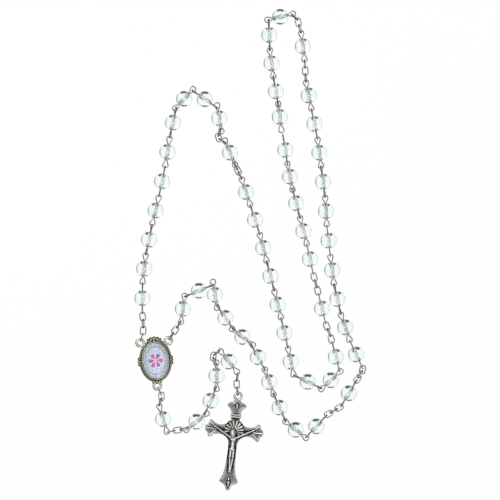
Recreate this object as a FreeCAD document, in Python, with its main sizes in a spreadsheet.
"""A five-decade rosary: glass beads on wire pins, jump rings, a centrepiece and a crucifix.

The origin is the middle of the centrepiece's flat back, +Z is up out of the table that the
rosary lies on, and +Y runs along the long loop. Everything is in millimetres.
"""
import FreeCAD, Part
import Sketcher
import math
import os
from FreeCAD import Placement, Rotation, Vector

SIZES = {
    # glass beads
    "bead_diameter": 6.0,
    "bead_length": 5.7,
    "bore_diameter": 1.2,
    # wire pins: one wire, bent back on itself into an eye at each end
    "wire_diameter": 0.45,
    "strand_offset": 0.26,
    "tail_gap": 0.3,
    "neck_start": 2.95,
    "neck_radius": 0.5,
    "eye_reach": 5.85,
    "eye_corner": 0.85,
    "crown_width": 0.3,
    # jump rings
    "ring_length": 3.2,
    "ring_width": 2.0,
    "ring_seam": 0.06,
    # how the links sit in each other
    "link_clearance": 0.05,
    "seat_clearance": 0.14,
    "open_pivot_gap": 0.15,
    "lug_height": 1.3,
    # centrepiece
    "centrepiece_turn": 4.0,
    "frame_half_width": 6.2,
    "frame_half_height": 8.2,
    "frame_thickness": 2.2,
    "frame_floor": 1.0,
    "picture_half_width": 5.0,
    "picture_half_height": 7.0,
    "picture_thickness": 0.3,
    "picture_clearance": 0.1,
    "dome_rise": 0.8,
    "scallop_radius": 0.75,
    "scallop_inset": 0.25,
    "scallop_thickness": 1.8,
    "ornament_radius": 1.0,
    "ornament_inset": 0.3,
    "lug_loop_radius": 1.35,
    "lug_wire_radius": 0.45,
    "side_lug_across": 5.3,
    "side_lug_up": 7.05,
    "bottom_lug_down": 9.55,
    # crucifix, measured from where its bars cross
    "crucifix_turn": -6.5,
    "crucifix_eye_up": 13.0,
    "crucifix_eye_radius": 1.3,
    "crucifix_eye_wire": 0.5,
    "crucifix_thickness": 1.6,
    "bar_half_width": 1.8,
    "arm_reach": 10.9,
    "top_reach": 10.9,
    "foot_reach": 22.5,
    "bud_radius": 1.75,
    "bud_side_radius": 1.25,
    "bud_spread": 2.1,
    "bud_middle_inset": 2.15,
    "bud_side_inset": 3.5,
    "bud_point_radius": 1.0,
    "bud_point_thickness": 1.2,
    "bud_inset": 1.6,
    "eye_root_radius": 0.9,
    "eye_root_up": 10.6,
    "halo_radius": 3.75,
    "halo_thickness": 0.3,
    # the figure on the crucifix
    "figure_height": 1.9,
    "head_radius": 1.1,
    "head_lean": 0.5,
    "head_down": 1.4,
    "head_height": 2.7,
    "chest_radius": 1.4,
    "waist_radius": 1.05,
    "chest_down": 2.1,
    "torso_length": 5.6,
    "hip_radius": 1.15,
    "ankle_radius": 0.6,
    "hip_down": 7.5,
    "leg_length": 7.8,
    "shoulder_radius": 0.65,
    "hand_radius": 0.4,
    "shoulder_out": 0.9,
    "shoulder_down": 3.0,
    "arm_length": 6.6,
    "arm_raise": 26.0,
}

SCALLOPS = 24

# Each leg of the chain: how many links it takes, and the points that its line passes through.
# The last point is a joint between two links. The middles of the beads lie at bead height,
# and the runs of jump rings sag a little between them.
LEFT_LEGS = [
    (4, [(-4.6, 10.5, 1.9), (-4.5, 14.0, 2.5), (-4.9, 17.5, 3.0)]),
    (3, [(-4.8, 34.0, 3.0), (-1.2, 51.0, 3.0)]),
    (4, [(3.0, 68.5, 3.0), (6.0, 88.0, 3.0), (7.8, 94.8, 3.0)]),
    (2, [(15.0, 102.6, 3.0), (23.3, 94.5, 3.0)]),
    (1, [(24.5, 86.9, 3.0)]),
    (3, [(23.5, 83.9, 2.2), (23.8, 83.1, 2.2), (26.4, 81.4, 3.0)]),
    (1, [(29.4, 74.3, 3.0)]),
    (3, [(30.7, 71.4, 2.5), (31.0, 70.8, 2.5), (32.3, 67.9, 3.0)]),
    (4, [(38.9, 47.8, 3.0), (44.5, 26.0, 3.0)]),
    (3, [(48.4, 10.5, 3.0), (51.7, -5.4, 3.0)]),
    (2, [(62.2, -10.5, 3.0), (69.0, -4.2, 3.0)]),
    (4, [(66.1, 7.1, 3.0), (65.2, 10.3, 2.5), (63.7, 13.8, 3.0)]),
    (4, [(61.0, 25.2, 3.0), (59.1, 32.3, 3.0)]),
    (3, [(56.6, 43.8, 3.0), (51.2, 64.6, 3.0)]),
    (2, [(49.5, 73.1, 3.0), (47.7, 84.6, 3.0)]),
]
RIGHT_START = (47.0, 87.4, 3.0)
RIGHT_LEGS = [
    (1, [(46.1, 95.0, 3.0)]),
    (2, [(44.1, 106.4, 3.0), (42.8, 116.0, 3.0)]),
    (2, [(42.4, 127.7, 3.0), (51.0, 129.7, 3.0)]),
    (3, [(53.2, 127.6, 2.4), (54.5, 122.7, 3.0)]),
    (1, [(55.8, 112.6, 3.0)]),
    (3, [(56.1, 108.0, 2.8), (56.3, 104.2, 3.0)]),
    (4, [(60.7, 82.8, 3.0), (63.5, 61.2, 3.0)]),
    (4, [(64.2, 50.0, 3.0), (66.5, 30.0, 3.0), (69.4, 17.3, 3.0)]),
    (2, [(72.7, 7.6, 3.0), (77.6, -3.0, 3.0)]),
    (3, [(77.3, -4.4, 2.6), (75.4, -7.2, 3.0)]),
    (4, [(69.4, -17.2, 3.0), (64.2, -20.3, 3.0)]),
    (2, [(56.4, -29.0, 3.0), (48.8, -22.9, 3.0)]),
    (3, [(44.1, -12.3, 3.0), (41.1, -3.8, 3.0), (35.6, 6.5, 3.0)]),
    (1, [(29.5, 11.2, 3.0)]),
    (2, [(22.9, 20.8, 3.0), (21.7, 28.4, 3.0)]),
    (2, [(10.9, 24.0, 3.0), (9.6, 14.8, 3.0)]),
    (3, [(7.5, 11.5, 2.2)]),
]
PENDANT_LEGS = [
    (3, [(2.4, -13.4, 1.7), (1.4, -16.9, 3.0)]),
    (1, [(4.3, -26.8, 3.0)]),
    (3, [(8.4, -26.0, 2.6), (12.3, -25.3, 3.0)]),
    (1, [(18.4, -20.4, 3.0)]),
    (2, [(22.9, -9.9, 3.0), (22.8, -1.7, 3.0)]),
    (3, [(21.6, 1.1, 2.2), (21.7, 1.9, 2.2), (24.1, 3.9, 3.0)]),
    (1, [(30.8, -4.6, 3.0)]),
    (3, [(30.3, -8.7, 2.4)]),
]
CRUCIFIX_EYE = (30.95, -13.4)

# The bodies along each strand, in order: r is a jump ring, b a Hail Mary bead on its pin,
# o an Our Father bead on its pin.
LEFT_BODIES = [
    ("decade_1", "a", "rrrrbb"), ("decade_1", "b", "bb"), ("decade_1", "c", "bb"),
    ("decade_1", "d", "bbbbr"), ("our_father", "1", "rrorrr"),
    ("decade_2", "a", "bb"), ("decade_2", "b", "bb"), ("decade_2", "c", "bb"),
    ("decade_2", "d", "bbbb"), ("our_father", "2", "rrrorrr"),
    ("decade_3", "a", "bbb"), ("decade_3", "b", "bb"),
]
RIGHT_BODIES = [
    ("decade_3", "c", "bb"), ("decade_3", "d", "bbbrrr"), ("our_father", "3", "orrr"),
    ("decade_4", "a", "bbb"), ("decade_4", "b", "bb"), ("decade_4", "c", "bb"),
    ("decade_4", "d", "bbb"), ("our_father", "4", "rrrorrr"),
    ("decade_5", "a", "bbb"), ("decade_5", "b", "b"), ("decade_5", "c", "bbbbbb"),
    ("decade_5", "d", "rrr"),
]
PENDANT_BODIES = [
    ("our_father", "5", "rrrorr"), ("hail_mary", "a", "rbb"), ("hail_mary", "b", "br"),
    ("our_father", "6", "rrorrr"),
]

X = Vector(1, 0, 0)
Z = Vector(0, 0, 1)


# ---------------------------------------------------------------- the line of the chain
def link_length(kind):
    """Centre-line length of a link, from the crown of one eye to the crown of the other."""
    return SIZES["ring_length"] if kind == "r" else 2 * SIZES["eye_reach"]


def link_seat():
    """Distance between the wires of two links that hang taut in each other."""
    return SIZES["wire_diameter"] + SIZES["link_clearance"]


def next_joint(joint, path, reach, chord):
    """The next point along the path that lies one chord from the joint, and its reach."""
    for index in range(int(reach), len(path) - 1):
        start, step = path[index], path[index + 1] - path[index]
        offset = start - joint
        a = step.dot(step)
        b = 2 * offset.dot(step)
        c = offset.dot(offset) - chord ** 2
        root = b * b - 4 * a * c
        if root < 0:
            continue
        t = (-b + math.sqrt(root)) / (2 * a)
        if 0 <= t <= 1 and index + t > reach:
            return start + step * t, index + t
    step = path[-1] - path[-2]
    past = chord - (path[-1] - joint).Length
    return path[-1] + step.normalize() * past, len(path) - 1 + max(past, 0)


def walk(path, kinds, flats, slack):
    """Joints along one leg when each flat link gives up this much slack."""
    joints, joint, reach = [path[0]], path[0], 0.0
    for kind, flat in zip(kinds, flats):
        chord = link_length(kind)
        if flat:
            chord -= 2 * link_seat() + slack
        joint, reach = next_joint(joint, path, reach, chord)
        joints.append(joint)
    return joints, reach


def leg_joints(path, kinds, flats):
    """Joints of one leg, its slack shared evenly so that the last one is the leg's end."""
    low, high = -0.5, 4.0
    for _ in range(60):
        slack = (low + high) / 2
        joints, reach = walk(path, kinds, flats, slack)
        if reach > len(path) - 1 or (joints[-1] - path[-1]).Length < 1e-9:
            low = slack
        else:
            high = slack
    joints, _ = walk(path, kinds, flats, high)
    joints[-1] = path[-1]
    return joints


def chain(start, legs, kinds, flat_first, end=None):
    """Every link of one strand: its kind, whether it lies flat, and its two joints."""
    links, joint, used, flat = [], Vector(*start), 0, flat_first
    for number, (count, points) in enumerate(legs):
        path = [joint] + [Vector(*point) for point in points]
        if end is not None and number == len(legs) - 1:
            path.append(Vector(*end))
        leg_kinds = kinds[used:used + count]
        flats = [flat ^ bool(i % 2) for i in range(count)]
        joints = leg_joints(path, leg_kinds, flats)
        for i in range(count):
            links.append((leg_kinds[i], flats[i], joints[i], joints[i + 1]))
        joint, used, flat = joints[-1], used + count, flat ^ bool(count % 2)
    return links


def axes_of(first, last):
    """The direction of a link, and the level direction across it."""
    along = (last - first).normalize()
    return along, Z.cross(along).normalize()


def link_placement(link, number):
    """Where a link lies: flat links level across, the others on edge and a little rolled."""
    kind, flat, first, last = link
    along, across = axes_of(first, last)
    up = along.cross(across)
    matrix = FreeCAD.Matrix(along.x, across.x, up.x, 0, along.y, across.y, up.y, 0,
                            along.z, across.z, up.z, 0, 0, 0, 0, 1)
    roll = 0.0 if flat else 90.0 + 16.0 * math.sin(2.4 * number)
    turned = Placement(matrix).Rotation.multiply(Rotation(Vector(1, 0, 0), roll))
    return Placement((first + last) / 2, turned)


def hinge_between(before, after):
    """The crown that two links turn on: a point on its middle, and its level axis."""
    holder, side = (before, 1) if before[1] else (after, -1)
    kind, flat, first, last = holder
    along, across = axes_of(first, last)
    middle = (first + last) / 2
    return middle + along * (side * link_length(kind) / 2), across


def turned(point, degrees):
    """A point turned about +Z."""
    return Rotation(Z, degrees).multVec(point)


def lug_centres():
    """The middles of the centrepiece's left, right and bottom lugs."""
    across, up = SIZES["side_lug_across"], SIZES["side_lug_up"]
    plain = [Vector(-across, up, 0), Vector(across, up, 0),
             Vector(0, -SIZES["bottom_lug_down"], 0)]
    raised = Vector(0, 0, SIZES["lug_height"])
    return [turned(point, SIZES["centrepiece_turn"]) + raised for point in plain]


def seat_in_loop(centre, towards, loop_radius, loop_wire):
    """Where a ring sits in a cast loop that it is pulled against, and the loop's tube there."""
    pull = Vector(towards[0] - centre.x, towards[1] - centre.y, 0).normalize()
    inset = loop_wire + SIZES["wire_diameter"] / 2 + SIZES["seat_clearance"]
    return centre + pull * (loop_radius - inset), centre + pull * loop_radius, Z.cross(pull)


def lug_seat(number, towards):
    return seat_in_loop(lug_centres()[number], towards,
                        SIZES["lug_loop_radius"], SIZES["lug_wire_radius"])


def kinds_of(bodies):
    return "".join(letters for _, _, letters in bodies)


def layout():
    """The three strands, each a list of links, and the hinges at their fixed ends."""
    left_seat = lug_seat(0, LEFT_LEGS[0][1][0])
    right_seat = lug_seat(1, RIGHT_LEGS[-1][1][0])
    bottom_seat = lug_seat(2, PENDANT_LEGS[0][1][0])
    eye = Vector(CRUCIFIX_EYE[0], CRUCIFIX_EYE[1], SIZES["lug_height"])
    eye_seat = seat_in_loop(eye, PENDANT_LEGS[-1][1][0],
                            SIZES["crucifix_eye_radius"], SIZES["crucifix_eye_wire"])
    left = chain(left_seat[0], LEFT_LEGS, kinds_of(LEFT_BODIES), False)
    right = chain(RIGHT_START, RIGHT_LEGS, kinds_of(RIGHT_BODIES), True, right_seat[0])
    pendant = chain(bottom_seat[0], PENDANT_LEGS, kinds_of(PENDANT_BODIES), False, eye_seat[0])
    return (left, right, pendant), (left_seat, right_seat, bottom_seat, eye_seat)


# ---------------------------------------------------------------- the document
doc = FreeCAD.newDocument("rosary")
sheet = doc.addObject("Spreadsheet::Sheet", "sizes")
for row, (alias, value) in enumerate(SIZES.items(), start=1):
    sheet.set("A%d" % row, alias)
    sheet.set("B%d" % row, str(value))
    sheet.setAlias("B%d" % row, alias)
doc.recompute()


def origin_plane(body, role):
    return next(item for item in body.Origin.OriginFeatures if item.Role == role)


def new_sketch(body, name, role):
    sketch = body.newObject("Sketcher::SketchObject", name)
    sketch.AttachmentSupport = [(origin_plane(body, role), "")]
    sketch.MapMode = "FlatFace"
    return sketch


def rule(sketch, *terms, formula=None):
    """Add a constraint, and bind it to the sheet when a formula is given."""
    index = sketch.addConstraint(Sketcher.Constraint(*terms))
    if formula:
        name = "rule_%d" % index
        sketch.renameConstraint(index, name)
        sketch.setExpression("Constraints." + name, formula)
    return index


def add_line(sketch, start, end):
    """A line, with the numbers of its first and last end."""
    line = Part.LineSegment(Vector(start[0], start[1], 0), Vector(end[0], end[1], 0))
    return sketch.addGeometry(line, False), 1, 2


def add_arc(sketch, centre, radius, start, end):
    """An arc from one angle to another, with the numbers of its first and last end."""
    circle = Part.Circle(Vector(centre[0], centre[1], 0), Z, radius)
    arc = Part.ArcOfCircle(circle, min(start, end), max(start, end))
    index = sketch.addGeometry(arc, False)
    return (index, 1, 2) if end > start else (index, 2, 1)


def join_tangent(sketch, run):
    for before, after in zip(run, run[1:]):
        rule(sketch, "Tangent", before[0], before[2], after[0], after[1])


def sweep_wire(body, name, spine, edges, start, side, side_formula):
    """Sweep the round wire along a sketched path that starts at x = start, y = -side."""
    section = new_sketch(body, name + "_section", "YZ_Plane")
    section.setExpression("AttachmentOffset.Base.z", start)
    radius = SIZES["wire_diameter"] / 2
    section.addGeometry(Part.Circle(Vector(-side, 0, 0), Z, radius), False)
    rule(section, "Diameter", 0, SIZES["wire_diameter"], formula="sizes.wire_diameter")
    rule(section, "PointOnObject", 0, 3, -1)
    rule(section, "DistanceX", 0, 3, -1, 1, side, formula=side_formula)
    pipe = body.newObject("PartDesign::AdditivePipe", name)
    pipe.Profile = section
    pipe.Spine = (spine, ["Edge%d" % (i + 1) for i in range(edges)])
    return pipe


def neck_angle():
    """How far the wire leans out of the bead's bore on its way round an eye."""
    low, high = 0.01, 1.2
    rise, reach = SIZES["neck_radius"], SIZES["eye_reach"] - SIZES["eye_corner"]
    for _ in range(60):
        angle = (low + high) / 2
        over = reach - SIZES["neck_start"] - rise * math.sin(angle)
        side = SIZES["strand_offset"] + rise * (1 - math.cos(angle)) - SIZES["crown_width"] / 2
        if over * math.sin(angle) + side * math.cos(angle) > SIZES["eye_corner"]:
            high = angle
        else:
            low = angle
    return angle


def draw_eye(sketch, side, lean):
    """One eye of a pin, from the bore's lower strand round to the upper one on the right."""
    quarter = math.pi / 2
    start, rise, corner = SIZES["neck_start"], SIZES["neck_radius"], SIZES["eye_corner"]
    strand, half = SIZES["strand_offset"], SIZES["crown_width"] / 2
    middle = SIZES["eye_reach"] - corner
    neck_x = start + rise * math.sin(lean)
    neck_y = strand + rise * (1 - math.cos(lean))
    bend_x = middle - corner * math.sin(lean)
    bend_y = half + corner * math.cos(lean)
    if side > 0:
        run = [
            add_arc(sketch, (start, -strand - rise), rise, quarter, quarter - lean),
            add_line(sketch, (neck_x, -neck_y), (bend_x, -bend_y)),
            add_arc(sketch, (middle, -half), corner, -quarter - lean, 0),
            add_line(sketch, (middle + corner, -half), (middle + corner, half)),
            add_arc(sketch, (middle, half), corner, 0, quarter + lean),
            add_line(sketch, (bend_x, bend_y), (neck_x, neck_y)),
            add_arc(sketch, (start, strand + rise), rise, lean - quarter, -quarter),
        ]
    else:
        run = [
            add_arc(sketch, (-start, strand + rise), rise, -quarter, -quarter - lean),
            add_line(sketch, (-neck_x, neck_y), (-bend_x, bend_y)),
            add_arc(sketch, (-middle, half), corner, quarter - lean, 2 * quarter),
            add_line(sketch, (-middle - corner, half), (-middle - corner, -half)),
            add_arc(sketch, (-middle, -half), corner, 2 * quarter, 3 * quarter + lean),
            add_line(sketch, (-bend_x, -bend_y), (-neck_x, -neck_y)),
            add_arc(sketch, (-start, -strand - rise), rise, quarter + lean, quarter),
        ]
    return run


def make_pin():
    """A bead's wire pin: one wire with a teardrop eye at each end, its ends meeting in the bore."""
    body = doc.addObject("PartDesign::Body", "pin")
    path = new_sketch(body, "pin_path", "XY_Plane")
    strand, start, gap = SIZES["strand_offset"], SIZES["neck_start"], SIZES["tail_gap"] / 2
    lean = neck_angle()
    tail = add_line(path, (gap, -strand), (start, -strand))
    right = draw_eye(path, 1, lean)
    shaft = add_line(path, (start, strand), (-start, strand))
    left = draw_eye(path, -1, lean)
    far_tail = add_line(path, (-start, -strand), (-gap, -strand))
    run = [tail] + right + [shaft] + left + [far_tail]
    join_tangent(path, run)
    for line in (tail, shaft, far_tail):
        rule(path, "Horizontal", line[0])
    for sign, eye in ((1, right), (-1, left)):
        ends = (-1, 1, eye[3][0], 1) if sign > 0 else (eye[3][0], 1, -1, 1)
        rule(path, "Symmetric", eye[3][0], 1, eye[3][0], 2, -1)
        rule(path, "DistanceX", *ends, SIZES["eye_reach"], formula="sizes.eye_reach")
        rule(path, "Distance", eye[3][0], SIZES["crown_width"], formula="sizes.crown_width")
        for arc in (eye[2], eye[4]):
            rule(path, "Radius", arc[0], SIZES["eye_corner"], formula="sizes.eye_corner")
        for arc in (eye[0], eye[6]):
            rule(path, "Radius", arc[0], SIZES["neck_radius"], formula="sizes.neck_radius")
    for point, line in ((2, tail), (1, shaft)):
        rule(path, "DistanceX", -1, 1, line[0], point, start, formula="sizes.neck_start")
    for point, line in ((1, far_tail), (2, shaft)):
        rule(path, "DistanceX", line[0], point, -1, 1, start, formula="sizes.neck_start")
    rule(path, "DistanceX", -1, 1, tail[0], 1, gap, formula="sizes.tail_gap / 2")
    rule(path, "DistanceX", far_tail[0], 2, -1, 1, gap, formula="sizes.tail_gap / 2")
    rule(path, "DistanceY", -1, 1, shaft[0], 1, strand, formula="sizes.strand_offset")
    for line in (tail, far_tail):
        rule(path, "DistanceY", line[0], 1, -1, 1, strand, formula="sizes.strand_offset")
    doc.recompute()
    sweep_wire(body, "pin_wire", path, len(run), "sizes.tail_gap / 2", strand,
               "sizes.strand_offset")
    return body


def make_ring():
    """A jump ring: a rounded oblong of wire, closed by a butt seam in one long side."""
    body = doc.addObject("PartDesign::Body", "ring")
    path = new_sketch(body, "ring_path", "XY_Plane")
    quarter = math.pi / 2
    end, side, corner = SIZES["ring_length"] / 2, SIZES["ring_width"] / 2, SIZES["eye_corner"]
    seam, x, y = SIZES["ring_seam"] / 2, end - corner, side - corner
    run = [
        add_line(path, (seam, -side), (x, -side)),
        add_arc(path, (x, -y), corner, -quarter, 0),
        add_line(path, (end, -y), (end, y)),
        add_arc(path, (x, y), corner, 0, quarter),
        add_line(path, (x, side), (-x, side)),
        add_arc(path, (-x, y), corner, quarter, 2 * quarter),
        add_line(path, (-end, y), (-end, -y)),
        add_arc(path, (-x, -y), corner, 2 * quarter, 3 * quarter),
        add_line(path, (-x, -side), (-seam, -side)),
    ]
    join_tangent(path, run)
    for arc in run[1::2]:
        rule(path, "Radius", arc[0], corner, formula="sizes.eye_corner")
    for line in (run[0], run[4], run[8]):
        rule(path, "Horizontal", line[0])
    rule(path, "Vertical", run[2][0])
    rule(path, "Vertical", run[6][0])
    half_length, half_width = "sizes.ring_length / 2", "sizes.ring_width / 2"
    rule(path, "DistanceX", -1, 1, run[2][0], 1, end, formula=half_length)
    rule(path, "DistanceX", run[6][0], 1, -1, 1, end, formula=half_length)
    rule(path, "DistanceY", -1, 1, run[4][0], 1, side, formula=half_width)
    rule(path, "DistanceY", run[0][0], 1, -1, 1, side, formula=half_width)
    rule(path, "DistanceY", run[8][0], 1, -1, 1, side, formula=half_width)
    rule(path, "DistanceX", -1, 1, run[0][0], 1, seam, formula="sizes.ring_seam / 2")
    rule(path, "DistanceX", run[8][0], 2, -1, 1, seam, formula="sizes.ring_seam / 2")
    doc.recompute()
    sweep_wire(body, "ring_wire", path, len(run), "sizes.ring_seam / 2", side, half_width)
    return body


def make_bead():
    """A round glass bead, drilled through and ground a little flat where the bore comes out."""
    body = doc.addObject("PartDesign::Body", "bead")
    half = new_sketch(body, "bead_section", "XY_Plane")
    radius, end, bore = (SIZES["bead_diameter"] / 2, SIZES["bead_length"] / 2,
                         SIZES["bore_diameter"] / 2)
    edge = math.acos(end / radius)
    rim = math.sqrt(radius ** 2 - end ** 2)
    round_edge = add_arc(half, (0, 0), radius, edge, math.pi - edge)
    run = [
        round_edge,
        add_line(half, (-end, rim), (-end, bore)),
        add_line(half, (-end, bore), (end, bore)),
        add_line(half, (end, bore), (end, rim)),
    ]
    for before, after in zip(run, run[1:] + run[:1]):
        rule(half, "Coincident", before[0], before[2], after[0], after[1])
    rule(half, "Coincident", round_edge[0], 3, -1, 1)
    rule(half, "Radius", round_edge[0], radius, formula="sizes.bead_diameter / 2")
    rule(half, "Vertical", run[1][0])
    rule(half, "Horizontal", run[2][0])
    rule(half, "Vertical", run[3][0])
    rule(half, "DistanceX", -1, 1, run[3][0], 1, end, formula="sizes.bead_length / 2")
    rule(half, "DistanceX", run[1][0], 1, -1, 1, end, formula="sizes.bead_length / 2")
    rule(half, "DistanceY", -1, 1, run[2][0], 1, bore, formula="sizes.bore_diameter / 2")
    doc.recompute()
    turned_glass = body.newObject("PartDesign::Revolution", "bead_glass")
    turned_glass.Profile = half
    turned_glass.ReferenceAxis = (half, ["H_Axis"])
    turned_glass.Angle = 360
    return body


# ---------------------------------------------------------------- castings
def primitive(kind, name, sizes=None, place=None):
    """A Part primitive whose sizes and place are bound to the sheet."""
    item = doc.addObject("Part::" + kind, name)
    for prop, formula in (sizes or {}).items():
        item.setExpression(prop, formula)
    for axis, formula in zip("xyz", place or ()):
        item.setExpression("Placement.Base." + axis, formula)
    return item


def turn(item, axis, degrees):
    item.Placement.Rotation = Rotation(axis, degrees)
    return item


def fuse(name, items):
    whole = doc.addObject("Part::MultiFuse", name)
    whole.Shapes = items
    return whole


def cut(name, base, tool):
    left_over = doc.addObject("Part::Cut", name)
    left_over.Base = base
    left_over.Tool = tool
    return left_over


def oval_plate(name, half_width, half_height, bottom, thickness):
    """A flat oval plate, its long side along Y."""
    outline = primitive("Ellipse", name + "_outline",
                        {"MajorRadius": half_height, "MinorRadius": half_width},
                        ("0", "0", bottom))
    turn(outline, Z, 90)
    plate = doc.addObject("Part::Extrusion", name)
    plate.Base = outline
    plate.DirMode = "Custom"
    plate.Dir = Z
    plate.Solid = True
    plate.setExpression("LengthFwd", thickness)
    return plate


def place_casting(item, label, base, degrees):
    """Give a finished casting its name and put it where it lies."""
    item.Label = label
    item.Placement = Placement(base, Rotation(Z, degrees))
    return item


def make_centrepiece():
    """The cast oval frame with its three lugs, the picture in it, and the clear dome over that."""
    turn_angle = SIZES["centrepiece_turn"]
    plate = oval_plate("frame_plate", "sizes.frame_half_width", "sizes.frame_half_height",
                       "0", "sizes.frame_thickness")
    pieces = [plate]
    for number in range(SCALLOPS):
        angle = "%g deg" % ((number + 0.5) * 360 / SCALLOPS)
        pieces.append(primitive(
            "Cylinder", "scallop_%d" % number,
            {"Radius": "sizes.scallop_radius", "Height": "sizes.scallop_thickness"},
            ("(sizes.frame_half_width - sizes.scallop_inset) * cos(%s)" % angle,
             "(sizes.frame_half_height - sizes.scallop_inset) * sin(%s)" % angle, "0")))
    for name, across, up in (
            ("top_ornament", "0", "sizes.frame_half_height - sizes.ornament_inset"),
            ("left_ornament", "-sizes.frame_half_width + sizes.ornament_inset", "0"),
            ("right_ornament", "sizes.frame_half_width - sizes.ornament_inset", "0")):
        pieces.append(primitive(
            "Cylinder", name,
            {"Radius": "sizes.ornament_radius", "Height": "sizes.frame_thickness"},
            (across, up, "0")))
    body = fuse("frame_body", pieces)
    recess = oval_plate("recess", "sizes.picture_half_width + sizes.picture_clearance",
                        "sizes.picture_half_height + sizes.picture_clearance",
                        "sizes.frame_floor", "sizes.frame_thickness")
    hollowed = cut("hollow_frame", body, recess)
    lugs = []
    for name, across, up in (
            ("left_lug", "-sizes.side_lug_across", "sizes.side_lug_up"),
            ("right_lug", "sizes.side_lug_across", "sizes.side_lug_up"),
            ("bottom_lug", "0", "-sizes.bottom_lug_down")):
        lugs.append(primitive(
            "Torus", name,
            {"Radius1": "sizes.lug_loop_radius", "Radius2": "sizes.lug_wire_radius"},
            (across, up, "sizes.lug_height")))
    frame = fuse("frame_casting", [hollowed] + lugs)
    picture = oval_plate("picture_disc", "sizes.picture_half_width",
                         "sizes.picture_half_height", "sizes.frame_floor",
                         "sizes.picture_thickness")
    dome = primitive(
        "Ellipsoid", "dome",
        {"Radius1": "sizes.dome_rise", "Radius2": "sizes.picture_half_width",
         "Radius3": "sizes.picture_half_height"})
    dome.Angle1 = 0
    doc.recompute()
    above = Vector(0, 0, SIZES["frame_floor"] + SIZES["picture_thickness"])
    return [place_casting(frame, "centrepiece_frame", Vector(), turn_angle),
            place_casting(picture, "centrepiece_picture", Vector(), turn_angle),
            place_casting(dome, "centrepiece_dome", above, turn_angle)]


def make_bud(name, reach, direction):
    """One budded end of the cross: a middle lobe, two side lobes and a blunt point."""
    across, along = ("x", "y") if direction in "ud" else ("y", "x")
    sign = "" if direction in "ur" else "-"
    reach_to = "%s(%s - %s)" % (sign, reach, "%s")
    lobes = []
    for part, radius, inset, offset in (
            ("middle", "sizes.bud_radius", "sizes.bud_middle_inset", "0"),
            ("side", "sizes.bud_side_radius", "sizes.bud_side_inset", "sizes.bud_spread"),
            ("other", "sizes.bud_side_radius", "sizes.bud_side_inset", "-sizes.bud_spread")):
        place = {along: reach_to % inset, across: offset, "z": "0"}
        lobes.append(primitive(
            "Cylinder", "%s_%s_lobe" % (name, part),
            {"Radius": radius, "Height": "sizes.crucifix_thickness"},
            (place["x"], place["y"], place["z"])))
    place = {along: reach_to % "sizes.bud_point_radius", across: "0", "z": "0"}
    lobes.append(primitive(
        "Cylinder", name + "_point",
        {"Radius": "sizes.bud_point_radius", "Height": "sizes.bud_point_thickness"},
        (place["x"], place["y"], place["z"])))
    return lobes


def bar(name, low_x, low_y, length_x, length_y):
    """A flat bar of the cross, from its low corner."""
    return primitive("Box", name, {"Length": length_x, "Width": length_y,
                                   "Height": "sizes.crucifix_thickness"}, (low_x, low_y, "0"))


def make_figure():
    """The figure cast on the cross, as plain rounded forms."""
    head = primitive("Sphere", "figure_head", {"Radius": "sizes.head_radius"},
                     ("-sizes.head_lean", "-sizes.head_down", "sizes.head_height"))
    torso = primitive("Cone", "figure_torso",
                      {"Radius1": "sizes.waist_radius", "Radius2": "sizes.chest_radius",
                       "Height": "sizes.torso_length"},
                      ("0", "-sizes.chest_down - sizes.torso_length", "sizes.figure_height"))
    legs = primitive("Cone", "figure_legs",
                     {"Radius1": "sizes.ankle_radius", "Radius2": "sizes.hip_radius",
                      "Height": "sizes.leg_length"},
                     ("0", "-sizes.hip_down - sizes.leg_length", "sizes.figure_height"))
    pieces = [head, turn(torso, X, -90), turn(legs, X, -90)]
    for side, name in ((-1, "figure_left_arm"), (1, "figure_right_arm")):
        arm = primitive("Cone", name,
                        {"Radius1": "sizes.shoulder_radius", "Radius2": "sizes.hand_radius",
                         "Height": "sizes.arm_length"},
                        ("%d * sizes.shoulder_out" % side, "-sizes.shoulder_down",
                         "sizes.figure_height"))
        raised = math.radians(SIZES["arm_raise"])
        arm.Placement.Rotation = Rotation(Z, Vector(side * math.cos(raised), math.sin(raised), 0))
        pieces.append(arm)
    return pieces


def make_crucifix():
    """The cast crucifix: budded cross, rays behind the head, eye at the top, and the figure."""
    width, inset = "sizes.bar_half_width * 2", "sizes.bud_inset"
    pieces = [
        bar("upright", "-sizes.bar_half_width", "-sizes.foot_reach + " + inset, width,
            "sizes.foot_reach + sizes.top_reach - 2 * " + inset),
        bar("crossbar", "-sizes.arm_reach + " + inset, "-sizes.bar_half_width",
            "2 * sizes.arm_reach - 2 * " + inset, width),
        primitive("Cylinder", "rays",
                  {"Radius": "sizes.halo_radius",
                   "Height": "sizes.crucifix_thickness + sizes.halo_thickness"}),
        primitive("Torus", "eye", {"Radius1": "sizes.crucifix_eye_radius",
                                   "Radius2": "sizes.crucifix_eye_wire"},
                  ("0", "sizes.crucifix_eye_up", "sizes.lug_height")),
        primitive("Cylinder", "eye_root",
                  {"Radius": "sizes.eye_root_radius", "Height": "sizes.crucifix_thickness"},
                  ("0", "sizes.eye_root_up", "0")),
    ]
    for name, reach, direction in (
            ("top", "sizes.top_reach", "u"), ("foot", "sizes.foot_reach", "d"),
            ("left", "sizes.arm_reach", "l"), ("right", "sizes.arm_reach", "r")):
        pieces += make_bud(name, reach, direction)
    casting = fuse("crucifix_casting", pieces + make_figure())
    doc.recompute()
    angle = SIZES["crucifix_turn"]
    eye = Vector(CRUCIFIX_EYE[0], CRUCIFIX_EYE[1], 0)
    crossing = eye - turned(Vector(0, SIZES["crucifix_eye_up"], 0), angle)
    return place_casting(casting, "crucifix", crossing, angle)


# ---------------------------------------------------------------- the strands
def linked_copy(master, name, place):
    copy = doc.addObject("App::Link", name)
    copy.LinkedObject = master
    copy.Placement = place
    return copy


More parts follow.
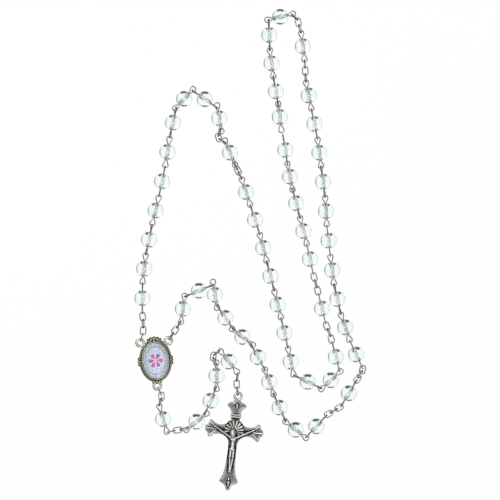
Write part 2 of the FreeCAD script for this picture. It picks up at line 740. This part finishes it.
def group(label, copies):
    """Several separate solids of one kind that share a node."""
    compound = doc.addObject("Part::Compound", label)
    compound.Links = copies
    compound.Label = label
    return compound


def string_strand(links, bodies, masters):
    """Thread one strand: a node of glass and a node of wire for each of its bodies."""
    nodes, used = [], 0
    for family, tag, letters in bodies:
        glass, wire = [], []
        for offset, letter in enumerate(letters):
            number = used + offset
            place = link_placement(links[number], number)
            name = "%s_%s_%d" % (family, tag, offset)
            if letter != "r":
                glass.append(linked_copy(masters["bead"], name + "_bead", place))
            wire_master = masters["ring" if letter == "r" else "pin"]
            wire.append(linked_copy(wire_master, name + "_wire", place))
        if glass:
            nodes.append(group("%s_beads_%s" % (family, tag), glass))
        nodes.append(group("%s_links_%s" % (family, tag), wire))
        used += len(letters)
    return nodes


def build():
    masters = {"bead": make_bead(), "pin": make_pin(), "ring": make_ring()}
    doc.recompute()
    nodes = make_centrepiece() + [make_crucifix()]
    strands, _ = layout()
    for links, bodies in zip(strands, (LEFT_BODIES, RIGHT_BODIES, PENDANT_BODIES)):
        nodes += string_strand(links, bodies, masters)
    doc.recompute()
    return nodes


def check_document(nodes):
    for item in doc.Objects:
        if "Invalid" in item.State or "Error" in item.State:
            raise RuntimeError("%s failed: %s" % (item.Label, item.State))
    for node in nodes:
        if node.Shape.isNull() or not node.Shape.isValid():
            raise RuntimeError("%s has a bad shape" % node.Label)


def write_parts(nodes):
    os.makedirs("parts", exist_ok=True)
    for node in nodes:
        node.Shape.exportStep("parts/%s.step" % node.Label)
        print("%-24s %2d solids %8.2f mm3" % (node.Label, len(node.Shape.Solids),
                                             node.Shape.Volume))


def print_pivots():
    """The point and axis that each pair of neighbouring bodies turns on."""
    strands, seats = layout()
    for name, (_, point, axis) in zip(("left lug", "right lug", "bottom lug", "crucifix eye"), seats):
        print("%-34s at %s along %s" % (name, tuple(point), tuple(axis)))
    for links, bodies in zip(strands, (LEFT_BODIES, RIGHT_BODIES, PENDANT_BODIES)):
        used = 0
        for before, after in zip(bodies, bodies[1:]):
            used += len(before[2])
            point, axis = hinge_between(links[used - 1], links[used])
            name = "%s %s and %s %s" % (before[:2] + after[:2])
            print("%-34s at %s along %s" % (name, tuple(point), tuple(axis)))


NODES = build()
check_document(NODES)
write_parts(NODES)
print_pivots()
